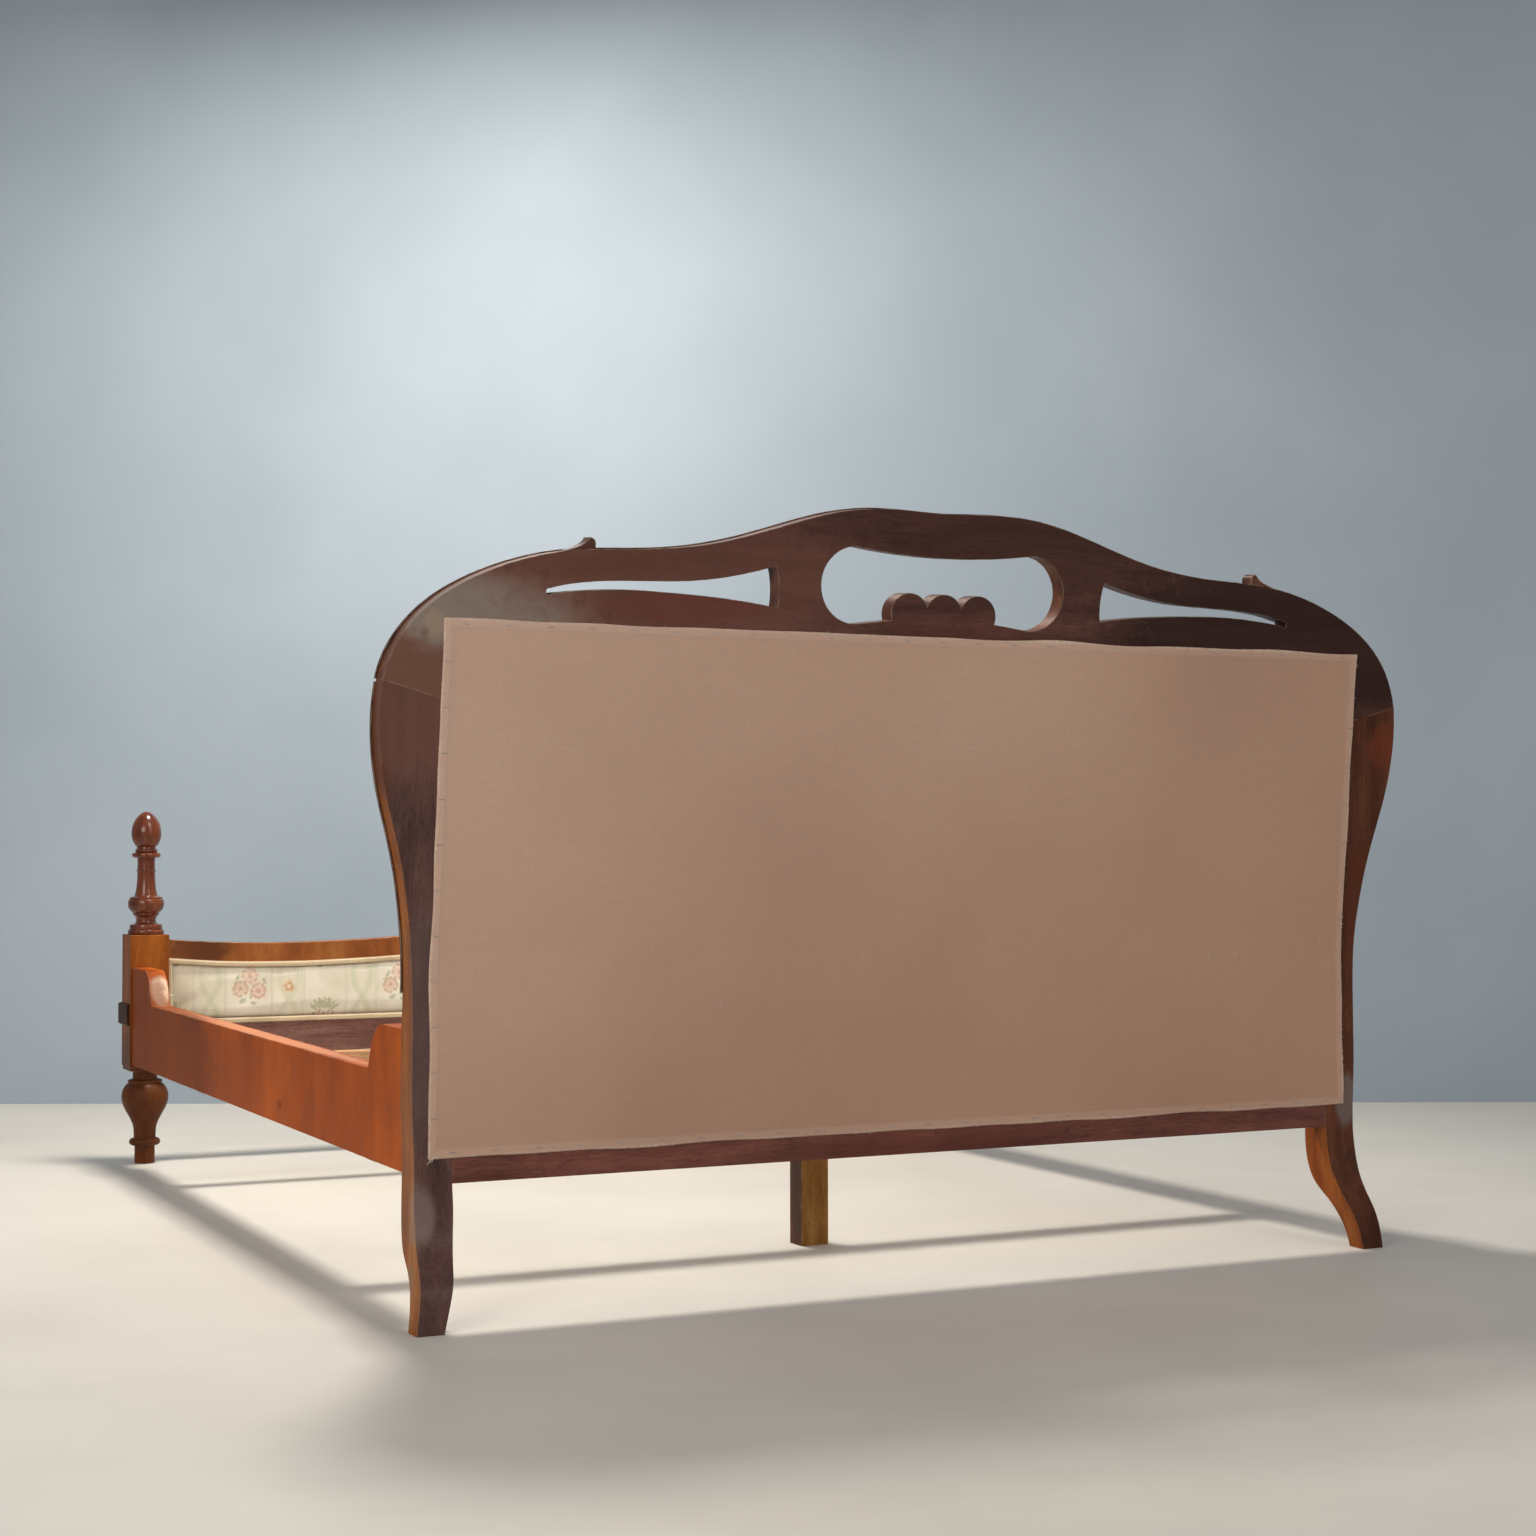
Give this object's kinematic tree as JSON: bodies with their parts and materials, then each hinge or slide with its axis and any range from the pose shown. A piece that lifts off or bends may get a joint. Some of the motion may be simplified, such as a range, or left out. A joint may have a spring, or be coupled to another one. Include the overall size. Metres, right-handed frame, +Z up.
{
  "type": "sleigh bed",
  "caption": "Double bed with a leaning pierced crest headboard on sabre legs, upholstered panels, a low serpentine footboard and turned posts with egg finials.",
  "frame": {"origin": "on the floor under the middle of the bed's outline", "axes": "+X across the bed, +Y from the head to the foot, +Z up"},
  "size_m": [1.8352, 2.1446, 1.2235],
  "materials": {
    "headboard_wood": "worn satin varnish",
    "carved_trim": "satin varnish",
    "side_rail_wood": "satin varnish",
    "post_wood": "satin varnish",
    "finial_wood": "gloss varnish",
    "footboard_wood": "satin varnish",
    "plywood": "raw",
    "softwood": "raw",
    "leg_wood": "worn",
    "bright_steel": "zinc plated",
    "black_iron": "blackened",
    "floral_fabric": "woven floral stripe",
    "gimp_braid": "looped braid",
    "back_cloth": "plain weave"
  },
  "bodies": {
    "frame": {"back_cloth_staples": "bright_steel", "crest_moulding": "carved_trim", "crest_scroll_left": "carved_trim", "crest_scroll_right": "carved_trim", "finial_dowel_left": "softwood", "finial_dowel_right": "softwood", "finial_left": "finial_wood", "finial_right": "finial_wood", "foot_hook_plate_left": "black_iron", "foot_hook_plate_right": "black_iron", "foot_stirrup_left": "black_iron", "foot_stirrup_right": "black_iron", "footboard_gimp_inner": "gimp_braid", "footboard_gimp_outer": "gimp_braid", "footboard_low_rail": "footboard_wood", "footboard_pad_inner": "floral_fabric", "footboard_pad_outer": "floral_fabric", "footboard_panel_board": "plywood", "footboard_post_left": "post_wood", "footboard_post_right": "post_wood", "footboard_top_rail": "footboard_wood", "head_hook_plate_left": "black_iron", "head_hook_plate_right": "black_iron", "head_stirrup_left": "black_iron", "head_stirrup_right": "black_iron", "headboard_back_cloth": "back_cloth", "headboard_crest": "headboard_wood", "headboard_front_pad": "floral_fabric", "headboard_gimp": "gimp_braid", "headboard_low_rail": "headboard_wood", "headboard_middle_stretcher": "softwood", "headboard_panel_board": "plywood", "headboard_stile_left": "headboard_wood", "headboard_stile_right": "headboard_wood", "hook_plate_screws": "bright_steel", "ledger_screws": "bright_steel", "post_band_left": "post_wood", "post_band_right": "post_wood", "rail_ledger_left": "softwood", "rail_ledger_right": "softwood", "side_rail_left": "side_rail_wood", "side_rail_right": "side_rail_wood", "stile_moulding_left": "carved_trim", "stile_moulding_right": "carved_trim", "stirrup_screws": "bright_steel"},
    "head_bearer": {"cross_bearer_head": "softwood", "centre_leg_head": "leg_wood", "centre_leg_bolt_head": "bright_steel"},
    "foot_bearer": {"cross_bearer_foot": "softwood", "centre_leg_foot": "leg_wood", "centre_leg_bolt_foot": "bright_steel"}
  },
  "joints": [
    {"name": "head_bearer_lift", "type": "slide", "parent": "frame", "child": "head_bearer", "axis": [0, 0, 1], "range_m": [0, 0.3]},
    {"name": "foot_bearer_lift", "type": "slide", "parent": "frame", "child": "foot_bearer", "axis": [0, 0, 1], "range_m": [0, 0.3]}
  ]
}
